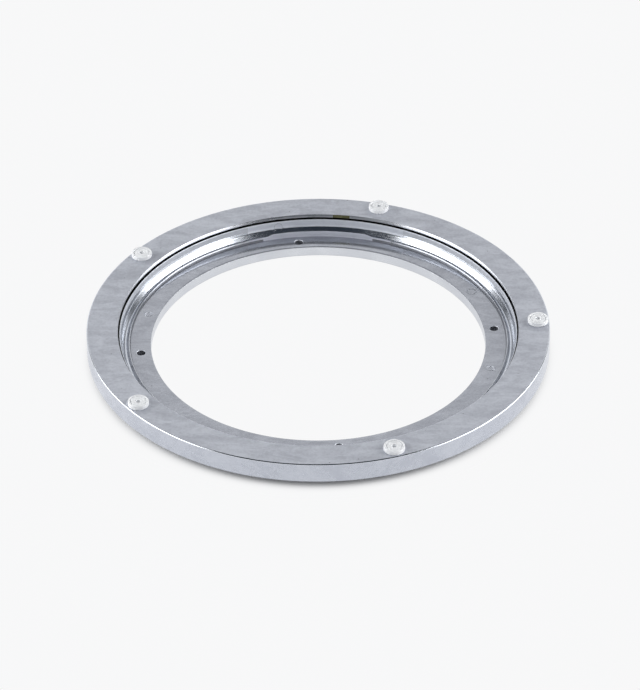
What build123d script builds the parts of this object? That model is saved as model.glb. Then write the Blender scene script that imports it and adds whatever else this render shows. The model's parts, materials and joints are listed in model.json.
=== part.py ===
from build123d import *
from itertools import product
import math
import os

# Lazy susan bearing: a turning ring runs on caged balls round a base ring that is screwed to the table.
# Millimetres. Z is the axis of rotation, and Z = 0 is the base ring's underside.
# Sections are drawn as radius and height. Radii are worked inwards from the skirt, heights upwards from the table.

# Turning ring
RING_DIAMETER = 300.0
SKIRT_WALL = 4.4
SKIRT_LIFT = 5.2
SKIRT_FOOT_BREAK = 0.8
TOP_EDGE_BREAK = 0.7
FLANGE_THICKNESS = 2.6
CHANNEL_WIDTH = 6.4
WEB_WALL = 1.3

# Ball race between the turning ring's web and the base ring
BALL_DIAMETER = 5.0
BALL_COUNT = 12
RACE_CLEARANCE = 0.25
RACE_GAP = 2.2
RACE_LAND = 1.3
CAGE_CLEARANCE = 0.3
CAGE_RAIL = 1.0
POCKET_CLEARANCE = 0.3

# Base ring
RIM_WALL = 1.9
RIM_CLEARANCE = 0.3
LIP_SETBACK = 1.4
WALL_HEIGHT = 5.2
COVE_WIDTH = 3.3
COVE_HEIGHT = 3.4
COVE_CHORDS = 3
COVE_RISE = 0.5
BANK_RUN = 2.5
RIDGE_HEIGHT = 1.4
RIDGE_LEAN = 0.4
BASE_WIDTH = 13.5
BASE_THICKNESS = 6.6

# Stretch of the base ring's ridge that stands higher than the rest
STRETCH_START_ANGLE = 73.5
STRETCH_ANGLE = 31.5
STRETCH_RISE = 1.2

# Screw holes through the base ring
SCREW_COUNT = 4
SCREW_START_ANGLE = 6.4
SCREW_HOLE_DIAMETER = 5.5

# Plug in the hole that the balls are loaded through
PLUG_ANGLE = 102.0
PLUG_OVERSIZE = 0.8
PLUG_CLEARANCE = 0.05

# Push-in pads
PAD_COUNT = 5
PAD_START_ANGLE = 1.2
PAD_DIAMETER = 13.4
PAD_HEIGHT = 3.2
PAD_EDGE_BREAK = 0.5
STEM_DIAMETER = 4.0
STEM_CLEARANCE = 0.1
STEM_TAIL = 1.5

# Race, where a ball of this reach touches four groove walls at 45 degrees
ball_radius = BALL_DIAMETER / 2
groove_reach = (ball_radius + RACE_CLEARANCE) * math.sqrt(2)
groove_half_width = groove_reach - RACE_GAP / 2

# Radii
skirt_outer = RING_DIAMETER / 2
skirt_inner = skirt_outer - SKIRT_WALL
web_outer = skirt_inner - CHANNEL_WIDTH
pitch = web_outer - WEB_WALL - groove_reach
outer_land = pitch + RACE_GAP / 2
inner_land = pitch - RACE_GAP / 2
rim_inner = pitch - groove_reach - RIM_WALL
lip_inner = rim_inner + LIP_SETBACK
cove_inner = rim_inner - COVE_WIDTH
crest = cove_inner - BANK_RUN
ridge_foot = crest - RIDGE_LEAN
bore = ridge_foot - BASE_WIDTH
pad_circle = (skirt_inner + web_outer) / 2
screw_circle = (ridge_foot + bore) / 2

# Heights
cove_floor = BASE_THICKNESS + COVE_RISE
ridge_top = BASE_THICKNESS + RIDGE_HEIGHT
rim_top = cove_floor + COVE_HEIGHT + WALL_HEIGHT
flange_underside = rim_top + RIM_CLEARANCE
ring_top = flange_underside + FLANGE_THICKNESS
race_height = rim_top - RACE_LAND - groove_half_width
web_bottom = race_height - groove_half_width - RACE_LAND

plug_radius = ball_radius + PLUG_OVERSIZE / 2


def outline(*points):
    """Face inside straight runs between points of a section."""
    return make_face(Polyline(*points, close=True))


def turned(section):
    """Solid of revolution of a section about Z."""
    return revolve(Plane.XZ * section, Axis.Z)


def corner(section, radius, height):
    """The section's corner nearest to a radius and height."""
    return section.vertices().sort_by_distance((radius, height))[0]


def groove(land, apex):
    """Corners of a V groove in a land, from the lowest up."""
    return [
        (land, race_height - groove_half_width),
        (apex, race_height),
        (land, race_height + groove_half_width),
    ]


def turning_ring():
    """Flange, skirt and race web in one casting, with the pads' holes through the flange."""
    section = outline(
        (skirt_outer, SKIRT_LIFT),
        (skirt_outer, ring_top),
        (lip_inner, ring_top),
        (lip_inner, flange_underside),
        (outer_land, flange_underside),
        *reversed(groove(outer_land, pitch + groove_reach)),
        (outer_land, web_bottom),
        (web_outer, web_bottom),
        (web_outer, flange_underside),
        (skirt_inner, flange_underside),
        (skirt_inner, SKIRT_LIFT),
    )
    section = chamfer(corner(section, skirt_outer, ring_top), TOP_EDGE_BREAK)
    section = chamfer(corner(section, skirt_outer, SKIRT_LIFT), SKIRT_FOOT_BREAK)
    drill = Cylinder(
        STEM_DIAMETER / 2 + STEM_CLEARANCE,
        FLANGE_THICKNESS,
        align=(Align.CENTER, Align.CENTER, Align.MAX),
    )
    return turned(section) - [place * drill for place in pad_places()]


def pad_places():
    """Where the pads' axes meet the flange's top."""
    return Pos(0, 0, ring_top) * PolarLocations(pad_circle, PAD_COUNT, PAD_START_ANGLE)


def pad():
    """Push-in pad that seats at Z = 0: a round head on a stem that goes through the flange."""
    head = PAD_DIAMETER / 2
    stem = STEM_DIAMETER / 2
    stem_end = -FLANGE_THICKNESS - STEM_TAIL
    section = outline(
        (0, stem_end),
        (stem, stem_end),
        (stem, 0),
        (head, 0),
        (head, PAD_HEIGHT),
        (0, PAD_HEIGHT),
    )
    section = chamfer(corner(section, head, PAD_HEIGHT), PAD_EDGE_BREAK)
    return turned(section)


def cove():
    """Points down the base ring's cove, a quarter oval drawn as chords so that the wide ring keeps few facets."""
    turns = [math.pi / 2 * step / COVE_CHORDS for step in range(COVE_CHORDS + 1)]
    top = cove_floor + COVE_HEIGHT
    return [(cove_inner + COVE_WIDTH * math.cos(a), top - COVE_HEIGHT * math.sin(a)) for a in turns]


def base_blank():
    """Turned blank of the base ring: rim, cove, ridge and flat inner flange, with the race outside."""
    return turned(
        outline(
            (bore, 0),
            (inner_land, 0),
            *groove(inner_land, pitch - groove_reach),
            (inner_land, rim_top),
            (rim_inner, rim_top),
            *cove(),
            (crest, ridge_top),
            (ridge_foot, BASE_THICKNESS),
            (bore, BASE_THICKNESS),
        )
    )


def raised_stretch():
    """Higher stretch of the ridge, from its foot on the flange over to the cove's floor."""
    section = outline(
        (ridge_foot, BASE_THICKNESS),
        (cove_inner, BASE_THICKNESS),
        (cove_inner, cove_floor),
        (crest, ridge_top + STRETCH_RISE),
    )
    return Rot(0, 0, STRETCH_START_ANGLE) * revolve(Plane.XZ * section, Axis.Z, STRETCH_ANGLE)


def plug_bar(radius):
    """Round bar along the ball-loading hole, from inside the cove out into the race."""
    bar = Cylinder(
        radius,
        pitch - cove_inner,
        rotation=(0, 90, 0),
        align=(Align.CENTER, Align.CENTER, Align.MIN),
    )
    return Rot(0, 0, PLUG_ANGLE) * Pos(cove_inner, 0, race_height) * bar


def base_ring():
    """Base ring with its raised stretch, screw holes and ball-loading hole."""
    drill = Cylinder(
        SCREW_HOLE_DIAMETER / 2,
        BASE_THICKNESS,
        align=(Align.CENTER, Align.CENTER, Align.MIN),
    )
    places = PolarLocations(screw_circle, SCREW_COUNT, SCREW_START_ANGLE)
    blank = base_blank() + raised_stretch()
    return blank - [place * drill for place in places] - plug_bar(plug_radius)


def loading_plug():
    """Plug turned flush with the cove at one end and with the race at the other."""
    return base_blank() & plug_bar(plug_radius - PLUG_CLEARANCE)


def ball():
    """One ball at the origin, cut by flats that touch its sphere squarely and at 45 degrees, where the race does."""
    solid = Box(BALL_DIAMETER, BALL_DIAMETER, BALL_DIAMETER)
    slab = Box(2 * BALL_DIAMETER, 2 * BALL_DIAMETER, BALL_DIAMETER)
    for direction in product((-1, 0, 1), repeat=3):
        if direction.count(0) == 1:
            solid = solid & Plane(origin=(0, 0, 0), z_dir=direction) * slab
    return solid


def ball_places():
    """Centres of the balls on the pitch circle."""
    return Pos(0, 0, race_height) * PolarLocations(pitch, BALL_COUNT)


def ball_cage():
    """Strip ring that spaces the balls, with a square window for each."""
    window_side = BALL_DIAMETER + 2 * POCKET_CLEARANCE
    half_height = window_side / 2 + CAGE_RAIL
    inner = inner_land + CAGE_CLEARANCE
    outer = outer_land - CAGE_CLEARANCE
    strip = outline(
        (inner, race_height - half_height),
        (outer, race_height - half_height),
        (outer, race_height + half_height),
        (inner, race_height + half_height),
    )
    window = Box(BALL_DIAMETER, window_side, window_side)
    return turned(strip) - [place * window for place in ball_places()]


def repeated(name, shape, places):
    """A copy of a shape at each place, under numbered names."""
    return {f"{name}_{number}": place * shape for number, place in enumerate(places, start=1)}


def main():
    """Write each piece to its own file."""
    pieces = {
        "base_ring": base_ring(),
        "loading_plug": loading_plug(),
        "turning_ring": turning_ring(),
        "ball_cage": ball_cage(),
        **repeated("ball", ball(), ball_places()),
        **repeated("pad", pad(), pad_places()),
    }
    os.makedirs("parts", exist_ok=True)
    for name, shape in pieces.items():
        export_step(shape, f"parts/{name}.step")


main()
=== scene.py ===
"""Studio scene of a lazy susan bearing: two die-cast rings, caged steel balls and five push-in pads.

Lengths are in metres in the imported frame. Z is the axis of rotation and Z = 0 is the base ring's underside.
"""

import json
import logging
import math
from dataclasses import dataclass, field
from enum import Enum
from typing import Any, Callable, Optional, Union

import bpy
import numpy as np
from mathutils import Matrix, Vector


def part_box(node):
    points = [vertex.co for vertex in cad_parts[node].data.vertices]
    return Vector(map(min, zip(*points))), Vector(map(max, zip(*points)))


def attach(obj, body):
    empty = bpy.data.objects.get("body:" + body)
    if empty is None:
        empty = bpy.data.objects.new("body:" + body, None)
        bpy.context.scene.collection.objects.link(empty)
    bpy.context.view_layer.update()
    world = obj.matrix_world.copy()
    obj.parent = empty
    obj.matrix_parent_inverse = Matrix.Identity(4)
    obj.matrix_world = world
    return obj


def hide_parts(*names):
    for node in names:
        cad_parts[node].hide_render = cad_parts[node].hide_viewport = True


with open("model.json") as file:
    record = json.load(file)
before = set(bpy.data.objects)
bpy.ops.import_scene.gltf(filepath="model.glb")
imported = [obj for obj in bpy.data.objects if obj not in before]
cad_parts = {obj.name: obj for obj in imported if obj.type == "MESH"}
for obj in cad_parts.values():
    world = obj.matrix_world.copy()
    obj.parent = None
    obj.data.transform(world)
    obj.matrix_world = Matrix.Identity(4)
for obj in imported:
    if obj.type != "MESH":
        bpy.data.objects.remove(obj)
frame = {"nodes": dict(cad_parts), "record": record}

log = logging.getLogger("bearing")

Colour = tuple[float, float, float]
Span = tuple[float, float]
Rows = tuple[int, int]
Swell = Callable[[np.ndarray], np.ndarray]
Socket = bpy.types.NodeSocket

MM = 0.001
FULL_TURN = 2 * math.pi

# Grid steps on roundings, round the rings and in the surrounds of round features
ARC_STEP = math.radians(9)
LEAST_ARC_STEPS = 4
RING_COLUMNS = 720
COLLAR_ROWS = 4

# Points within this distance are one, and a corner with less turn than this is straight
WELD = 1e-6
LEAST_TURN = 1e-6

# Straight run between two roundings, and the room that a rounding takes as a share of its radius
HAIR = 0.02 * MM
ROUND_ROOM = 1.05


class Body(Enum):
    """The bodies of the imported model."""

    BASE = "base"
    TURNTABLE = "turntable"
    CAGE = "cage"


class Slot(Enum):
    """The record's material slots."""

    CAST = "cast_aluminium"
    NYLON = "cage_nylon"
    STEEL = "ball_steel"
    PLASTIC = "pad_plastic"


class Finish(Enum):
    """How a stretch of a ring's section is finished."""

    FACE = 0
    TURNED = 1
    SKIRT = 2
    RAW = 3
    # Near black: grease in the race, with painted shade for the dark gap between the rings
    GREASED = 4
    BLASTED = 5
    PLATE = 6
    LIP = 7
    RIDGE = 8
    OILED = 9
    SATIN = 10
    # Painted shade: a dark colour at the foot of the low ridge, where it meets the flange
    DULL = 11


# Shapes


def even_turns(count: int) -> np.ndarray:
    """Directions of columns that stand evenly round an axis."""
    return np.arange(count) * FULL_TURN / count


def unit(angle: np.ndarray) -> np.ndarray:
    """Unit vectors in a plane: the cosine and sine of each angle."""
    return np.stack([np.cos(angle), np.sin(angle)], axis=-1)


def hexagon(turns: np.ndarray) -> np.ndarray:
    """Swell of a hexagon with flats at 1: one over the cosine of the turn from the nearest flat's middle."""
    sixth = FULL_TURN / 6
    return 1 / np.cos((turns + sixth / 2) % sixth - sixth / 2)


def drawn_in(edge: np.ndarray, rim: np.ndarray) -> np.ndarray:
    """Rows of points on straight lines from a window's edge to a feature's rim."""
    return edge + np.linspace(0, 1, COLLAR_ROWS + 1)[:, None, None] * (rim - edge)


@dataclass(frozen=True)
class Corner:
    """A corner of a section.

    Attributes:
        r: Distance from the axis.
        z: Height.
        round: Radius of the arc that rounds the corner.
        rows: Grid steps on the straight run that follows.
        finish: Finish of the corner's arc and of that run.
        run: Name of that run, where something is cut into it or its finish changes round the ring.
    """

    r: float
    z: float
    round: float = 0.0
    rows: int = 1
    finish: Finish = Finish.RAW
    run: str = ""


@dataclass(frozen=True)
class Section:
    """A section of a turned shape as rows of points, with the solid on the left of the path.

    Attributes:
        points: Radius and height of each row.
        normals: Outward direction at each row, as radius and height.
        finishes: Finish of the strip from each row to the next.
        runs: First and last row of each named straight run.
        closed: Whether the last row joins the first.
    """

    points: np.ndarray
    normals: np.ndarray
    finishes: np.ndarray
    runs: dict[str, Rows]
    closed: bool

    @staticmethod
    def through(corners: list[Corner], closed: bool = True) -> "Section":
        """Section through corners: straight runs joined by tangent arcs.

        At a corner the path turns from one heading to the next along a circle of the corner's radius, which
        starts the radius times the tangent of half the turn before the corner. The outward direction is
        square to the heading, on its right.

        Args:
            corners: Corners in order, with the solid on the left.
            closed: Whether the last corner joins the first. An open path's two end corners stay sharp.

        Returns:
            The section.
        """
        path = np.array([(c.r, c.z) for c in corners])
        gaps = np.roll(path, -1, axis=0) - path
        headings = gaps / np.linalg.norm(gaps, axis=1, keepdims=True)
        arcs = []
        for index, corner in enumerate(corners):
            end = not closed and index in (0, len(corners) - 1)
            leaving = headings[index if not end or index == 0 else index - 1]
            coming = leaving if end else headings[index - 1]
            arcs.append(Section._arc(path[index], coming, leaving, corner.round))
        points, normals, finishes, runs = [], [], [], {}
        count = 0
        for index, corner in enumerate(corners):
            arc, outward = arcs[index]
            points.append(arc)
            normals.append(outward)
            count += len(arc)
            start = count - 1
            last = not closed and index == len(corners) - 1
            if not last:
                following = arcs[(index + 1) % len(corners)][0][0]
                share = np.linspace(0, 1, corner.rows + 1)[1:-1, None]
                points.append(arc[-1] + share * (following - arc[-1]))
                normals.append(np.repeat(outward[-1:], corner.rows - 1, axis=0))
                count += corner.rows - 1
            if corner.run:
                runs[corner.run] = (start, count)
            finishes += [corner.finish.value] * (count - len(finishes))
        return Section(np.vstack(points), np.vstack(normals), np.array(finishes), runs, closed)

    @staticmethod
    def _arc(corner: np.ndarray, coming: np.ndarray, leaving: np.ndarray,
             radius: float) -> tuple[np.ndarray, np.ndarray]:
        """Points and outward directions round one corner.

        Args:
            corner: The corner's radius and height.
            coming: Unit heading into the corner.
            leaving: Unit heading out of it.
            radius: Radius of the arc.

        Returns:
            The arc's points and outward directions. A corner with no radius or turn has one of each.
        """
        turn = math.atan2(coming[0] * leaving[1] - coming[1] * leaving[0], float(coming @ leaving))
        left = np.array([-coming[1], coming[0]])
        if radius <= 0 or abs(turn) < LEAST_TURN:
            return corner[None, :], np.array([[leaving[1], -leaving[0]]])
        steps = max(LEAST_ARC_STEPS, math.ceil(abs(turn) / ARC_STEP))
        swing = np.linspace(0, turn, steps + 1)[:, None]
        side = math.copysign(1, turn)
        start = corner - coming * radius * math.tan(abs(turn) / 2)
        arc = start + radius * (np.sin(np.abs(swing)) * coming + side * (1 - np.cos(swing)) * left)
        heading = np.cos(swing) * coming + np.sin(swing) * left
        return arc, np.column_stack([heading[:, 1], -heading[:, 0]])


@dataclass
class Surface:
    """A grid of points with their outward directions.

    Attributes:
        points: Places, as rows by columns by three.
        normals: Outward directions, in the same grid.
        finishes: Finish of each row of quads, or of each quad.
        keep: Which quads are there, as rows by columns.
        ring_rows: Whether the last row joins the first.
        ring_columns: Whether the last column joins the first.
    """

    points: np.ndarray
    normals: np.ndarray
    finishes: np.ndarray
    keep: Optional[np.ndarray] = None
    ring_rows: bool = False
    ring_columns: bool = True

    def quads(self) -> tuple[np.ndarray, np.ndarray]:
        """The quads that are there.

        Returns:
            The indices of each quad's corners, and the finish of each quad.
        """
        rows, columns = self.points.shape[:2]
        across = np.arange(rows if self.ring_rows else rows - 1)[:, None]
        along = np.arange(columns if self.ring_columns else columns - 1)[None, :]
        below, beside = (across + 1) % rows, (along + 1) % columns
        corners = [(across, along), (across, beside), (below, beside), (below, along)]
        quads = np.stack([row * columns + column for row, column in corners], axis=-1)
        bands = self.finishes if self.finishes.ndim == 2 else self.finishes[:, None]
        finishes = np.broadcast_to(bands[: len(across)], quads.shape[:2])
        keep = np.ones(quads.shape[:2], bool) if self.keep is None else self.keep
        return quads[keep], finishes[keep]


@dataclass
class Shell:
    """Surfaces that are sewn into one mesh.

    Attributes:
        name: Name of the piece.
        surfaces: The surfaces so far.
    """

    name: str
    surfaces: list[Surface] = field(default_factory=list)

    def add(self, *surfaces: Surface) -> None:
        """Add surfaces to the shell."""
        self.surfaces += surfaces

    def build(self) -> bpy.types.Object:
        """Sew the surfaces into one object at the origin.

        Points that lie on each other become one vertex, and a quad with two corners on one vertex becomes a
        triangle. Each quad is wound so that its own normal, the cross product of its diagonals, agrees with
        its points' outward directions, which the mesh keeps as its shading normals.

        Returns:
            The object, linked to the scene.
        """
        points = np.concatenate([s.points.reshape(-1, 3) for s in self.surfaces])
        normals = np.concatenate([s.normals.reshape(-1, 3) for s in self.surfaces])
        starts = np.cumsum([0] + [s.points.shape[0] * s.points.shape[1] for s in self.surfaces[:-1]])
        parts = [s.quads() for s in self.surfaces]
        quads = np.concatenate([start + quad for start, (quad, _) in zip(starts, parts)])
        finishes = np.concatenate([finish for _, finish in parts])
        corner = points[quads]
        facing = np.cross(corner[:, 2] - corner[:, 0], corner[:, 3] - corner[:, 1])
        inward = np.einsum("ij,ij->i", facing, normals[quads].sum(axis=1)) < 0
        quads[inward] = quads[inward][:, ::-1]
        cells = np.round(points / WELD).astype(np.int64)
        _, first, index = np.unique(cells, axis=0, return_index=True, return_inverse=True)
        sewn = index.reshape(-1)[quads]
        used = sewn != np.roll(sewn, -1, axis=1)
        whole = used.sum(axis=1) >= 3
        used = used[whole]
        sizes = used.sum(axis=1)
        loop_starts = np.concatenate([[0], np.cumsum(sizes)[:-1]])
        mesh = bpy.data.meshes.new(self.name)
        mesh.vertices.add(len(first))
        mesh.vertices.foreach_set("co", points[first].astype(np.float32).ravel())
        mesh.loops.add(int(sizes.sum()))
        mesh.loops.foreach_set("vertex_index", sewn[whole][used].astype(np.int32))
        mesh.polygons.add(len(sizes))
        mesh.polygons.foreach_set("loop_start", loop_starts.astype(np.int32))
        mesh.polygons.foreach_set("material_index", finishes[whole].astype(np.int32))
        mesh.polygons.foreach_set("use_smooth", np.ones(len(sizes), bool))
        mesh.update(calc_edges=True)
        mesh.normals_split_custom_set(normals[quads[whole][used]])
        made = bpy.data.objects.new(self.name, mesh)
        bpy.context.scene.collection.objects.link(made)
        return made


def spun(section: Section, turns: np.ndarray, place: Vector = Vector(),
         swell: Optional[np.ndarray] = None) -> Surface:
    """Section carried round a vertical axis.

    A row of radius r and height z gives, at each turn, the point (r cos turn, r sin turn, z) from the axis,
    with r times the swell at that turn.

    Args:
        section: The section.
        turns: Angles of the columns.
        place: Where the axis stands.
        swell: Factor on the radius at each turn, where the outline isn't round.

    Returns:
        The surface.
    """
    swell = np.ones_like(turns) if swell is None else swell
    r, z = section.points[:, 0:1], section.points[:, 1:2]
    nr, nz = section.normals[:, 0:1], section.normals[:, 1:2]
    cos, sin = np.cos(turns)[None, :], np.sin(turns)[None, :]
    points = np.stack([r * swell * cos + place.x, r * swell * sin + place.y, z + 0 * cos + place.z], axis=-1)
    normals = np.stack([nr * cos, nr * sin, nz + 0 * cos], axis=-1)
    return Surface(points, normals, section.finishes, ring_rows=section.closed)


@dataclass
class TurnedGrid:
    """A whole turned ring as a grid, with windows cut in it for round features.

    Attributes:
        section: The ring's closed section.
        columns: Columns round the ring.
        keep: Which quads are still there.
    """

    section: Section
    columns: int = RING_COLUMNS
    keep: np.ndarray = field(init=False)

    def __post_init__(self) -> None:
        """Start with every quad there."""
        self.keep = np.ones((len(self.section.points), self.columns), bool)

    @property
    def turns(self) -> np.ndarray:
        """Directions of the columns."""
        return even_turns(self.columns)

    def between(self, ends: Span) -> np.ndarray:
        """Which columns lie between two directions."""
        return (self.turns >= ends[0]) & (self.turns <= ends[1])

    def surface(self) -> Surface:
        """The ring without its windows.

        Returns:
            The surface, with a finish for each quad.
        """
        made = spun(self.section, self.turns)
        made.keep = self.keep
        made.finishes = np.repeat(self.section.finishes[:, None], self.columns, axis=1)
        return made

    def window(self, rows: Rows, azimuth: float, half_width: float) -> tuple[np.ndarray, np.ndarray]:
        """Take a block of quads out of the grid.

        Args:
            rows: First and last row of the block.
            azimuth: Direction of the block's middle from the axis.
            half_width: Half the block's angle, rounded to whole columns.

        Returns:
            Row numbers and angles from the middle of the grid points on the block's edge, once round.
        """
        step = FULL_TURN / self.columns
        first = math.floor((azimuth - half_width) / step)
        last = math.ceil((azimuth + half_width) / step)
        across = np.arange(rows[0], rows[1] + 1)
        along = np.arange(first, last + 1)
        self.keep[np.ix_(across[:-1], along[:-1] % self.columns)] = False
        wide, high = len(along) - 1, len(across) - 1
        row = np.concatenate([np.full(wide, rows[0]), across[:-1], np.full(wide, rows[1]), across[:0:-1]])
        column = np.concatenate([along[:-1], np.full(high, last), along[:0:-1], np.full(high, first)])
        return row, column * step - azimuth

    def flat_collar(self, run: str, azimuth: float, radius: float, rim: float, half_width: float,
                    swell: Swell = np.ones_like) -> tuple[Surface, np.ndarray]:
        """Flat surround of a round feature, from a window in a flat run to the feature's rim.

        Points on straight lines from the window's edge to the rim, which lies on the same bearings from the
        middle.

        Args:
            run: Name of the flat run.
            azimuth: Direction of the feature from the ring's axis.
            radius: The feature's distance from that axis.
            rim: Radius of its rim.
            half_width: Half the window's width.
            swell: Factor on the rim at each bearing.

        Returns:
            The surround, and the bearings of its columns.
        """
        rows = self.section.runs[run]
        row, angle = self.window(rows, azimuth, half_width / radius)
        middle = np.array([radius, 0])
        edge = self.section.points[row, 0:1] * unit(angle) - middle
        bearing = np.arctan2(edge[:, 1], edge[:, 0])
        plan = drawn_in(edge, rim * swell(bearing)[:, None] * unit(bearing)) + middle
        x, y = plan[..., 0], plan[..., 1]
        cos, sin = math.cos(azimuth), math.sin(azimuth)
        height = np.full(x.shape, self.section.points[rows[0], 1])
        points = np.stack([x * cos - y * sin, x * sin + y * cos, height], axis=-1)
        normals = np.zeros_like(points)
        normals[..., 2] = self.section.normals[rows[0], 1]
        finishes = np.full(COLLAR_ROWS, self.section.finishes[rows[0]])
        return Surface(points, normals, finishes), bearing + azimuth

    def on_wall(self, rows: Rows, azimuth: float, aside: np.ndarray,
                height: np.ndarray) -> tuple[np.ndarray, np.ndarray]:
        """Places on a wall of the ring, seen square on along a radius.

        The wall's radius R at a height comes from the section's rows. A place aside from the line of sight
        lies at the square root of R squared less the square of that distance along the line.

        Args:
            rows: First and last row of the wall.
            azimuth: Direction of the line of sight.
            aside: Distances to its left.
            height: Heights.

        Returns:
            Points and outward directions.
        """
        wall = slice(rows[0], rows[1] + 1)
        order = np.argsort(self.section.points[wall, 1])
        levels = self.section.points[wall, 1][order]
        known = np.column_stack([self.section.points[wall, 0], self.section.normals[wall]])[order]
        r, nr, nz = (np.interp(height, levels, column) for column in known.T)
        turn = azimuth + np.arcsin(aside / r)
        points = np.stack([r * np.cos(turn), r * np.sin(turn), height], axis=-1)
        return points, np.stack([nr * np.cos(turn), nr * np.sin(turn), nz], axis=-1)

    def wall_collar(self, rows: Rows, azimuth: float, height: float, rim: float,
                    half_width: float) -> tuple[Surface, np.ndarray]:
        """Surround of a round feature in a wall, from a window to the feature's rim.

        Straight lines from the window's edge to the rim, as seen along a radius, laid on the wall.

        Args:
            rows: First and last row of the window.
            azimuth: Direction of the feature.
            height: Height of its middle.
            rim: Radius of its rim.
            half_width: Half the window's angle.

        Returns:
            The surround, and the bearings of its columns as seen along the radius.
        """
        row, angle = self.window(rows, azimuth, half_width)
        r, z = self.section.points[row, 0], self.section.points[row, 1]
        edge = np.stack([r * np.sin(angle), z - height], axis=-1)
        bearing = np.arctan2(edge[:, 1], edge[:, 0])
        seen = drawn_in(edge, rim * unit(bearing))
        points, normals = self.on_wall(rows, azimuth, seen[..., 0], seen[..., 1] + height)
        return Surface(points, normals, self.finish_at(rows, points[:-1, :, 2])), bearing

    def finish_at(self, rows: Rows, height: np.ndarray) -> np.ndarray:
        """Finish of a wall at heights, which is that of the row above each.

        Args:
            rows: First and last row of the wall.
            height: Heights.

        Returns:
            The finishes.
        """
        levels = self.section.points[rows[0]: rows[1] + 1, 1]
        above = np.clip(np.searchsorted(-levels, -height) - 1, 0, len(levels) - 1)
        return self.section.finishes[rows[0] + above]


# Finishes


class Graph:
    """A node tree with short calls to add and join nodes."""

    def __init__(self, tree: bpy.types.NodeTree) -> None:
        """Empty the tree.

        Args:
            tree: The node tree of a material or world.
        """
        self.tree = tree
        tree.nodes.clear()

    def node(self, kind: str, inputs: Optional[dict[Any, Any]] = None, **settings: Any) -> bpy.types.Node:
        """Add a node.

        Args:
            kind: Type of the node.
            inputs: Socket names or numbers, each with a value to set or an output to join.
            settings: Properties of the node.

        Returns:
            The node.
        """
        made = self.tree.nodes.new(kind)
        for name, value in settings.items():
            setattr(made, name, value)
        for name, value in (inputs or {}).items():
            self.feed(made.inputs[name], value)
        return made

    def feed(self, socket: Socket, value: Any) -> None:
        """Join an output to a socket, or set the socket's value.

        Args:
            socket: The socket.
            value: The output or the value.
        """
        if isinstance(value, Socket):
            self.tree.links.new(value, socket)
        else:
            socket.default_value = value

    def place(self) -> Socket:
        """Coordinates on the object, in metres."""
        return self.node("ShaderNodeTexCoord").outputs["Object"]

    def polar(self, place: Socket) -> tuple[Socket, Socket]:
        """Distance from the axis of rotation, and height.

        Args:
            place: Coordinates in metres.

        Returns:
            The distance and the height.
        """
        split = self.node("ShaderNodeSeparateXYZ", {0: place}).outputs
        flat = self.node("ShaderNodeCombineXYZ", {"X": split["X"], "Y": split["Y"]}).outputs[0]
        reach = self.node("ShaderNodeVectorMath", {0: flat}, operation="LENGTH").outputs["Value"]
        return reach, split["Z"]

    def noise(self, vector: Socket, size: float, detail: float, blur: float, twist: float = 0.0) -> Socket:
        """Noise whose features are about as large as size.

        Args:
            vector: Coordinates in metres.
            size: Size of the features.
            detail: How many finer layers it has.
            blur: Weight of those layers.
            twist: How far it is distorted.

        Returns:
            The noise value.
        """
        inputs = {"Vector": vector, "Scale": 1 / size, "Detail": detail, "Roughness": blur,
                  "Distortion": twist}
        return self.node("ShaderNodeTexNoise", inputs).outputs["Fac"]

    def math(self, operation: str, *values: Any) -> Socket:
        """Result of a math node on values or sockets."""
        return self.node("ShaderNodeMath", dict(enumerate(values)), operation=operation).outputs[0]

    def weighed(self, first: Socket, second: Socket, share: float) -> Socket:
        """Sum of two values: the first times its share, and the second times the rest."""
        return self.math("ADD", self.math("MULTIPLY", first, share), self.math("MULTIPLY", second, 1 - share))

    def span(self, value: Socket, low: float, high: float, to_low: float, to_high: float) -> Socket:
        """Value brought smoothly from one span to another, held at the ends."""
        inputs = {"Value": value, "From Min": low, "From Max": high, "To Min": to_low, "To Max": to_high}
        return self.node("ShaderNodeMapRange", inputs, interpolation_type="SMOOTHSTEP").outputs["Result"]

    def blend(self, share: Socket, low: Union[Colour, Socket], high: Union[Colour, Socket]) -> Socket:
        """Colour between two colours.

        Args:
            share: How far it lies from the first to the second.
            low: The first colour.
            high: The second colour.

        Returns:
            The colour.
        """
        made = self.node("ShaderNodeMix", data_type="RGBA")
        sockets = [s for s in made.inputs if s.enabled]
        for socket, value in zip(sockets, (share, low, high)):
            self.feed(socket, value if isinstance(value, Socket) else (*value, 1.0))
        return next(s for s in made.outputs if s.enabled)

    def bump(self, height: Socket, depth: float, strength: float) -> Socket:
        """Normal from a height map.

        Args:
            height: Height from 0 to 1.
            depth: What a height of 1 stands for.
            strength: Share of the effect.

        Returns:
            The normal.
        """
        inputs = {"Height": height, "Distance": depth, "Strength": strength}
        return self.node("ShaderNodeBump", inputs).outputs["Normal"]

    def surface(self, shader: Socket, kind: str = "ShaderNodeOutputMaterial") -> None:
        """Join a shader to the output."""
        self.node(kind, {"Surface": shader})

    def principled(self, inputs: dict[str, Any]) -> None:
        """Join a principled shader with these inputs to the output."""
        self.surface(self.node("ShaderNodeBsdfPrincipled", inputs).outputs[0])


def new_graph(name: str) -> tuple[bpy.types.Material, Graph]:
    """An empty node material.

    Args:
        name: Name of the material.

    Returns:
        The material and its graph.
    """
    material = bpy.data.materials.new(name)
    material.use_nodes = True
    return material, Graph(material.node_tree)


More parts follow.
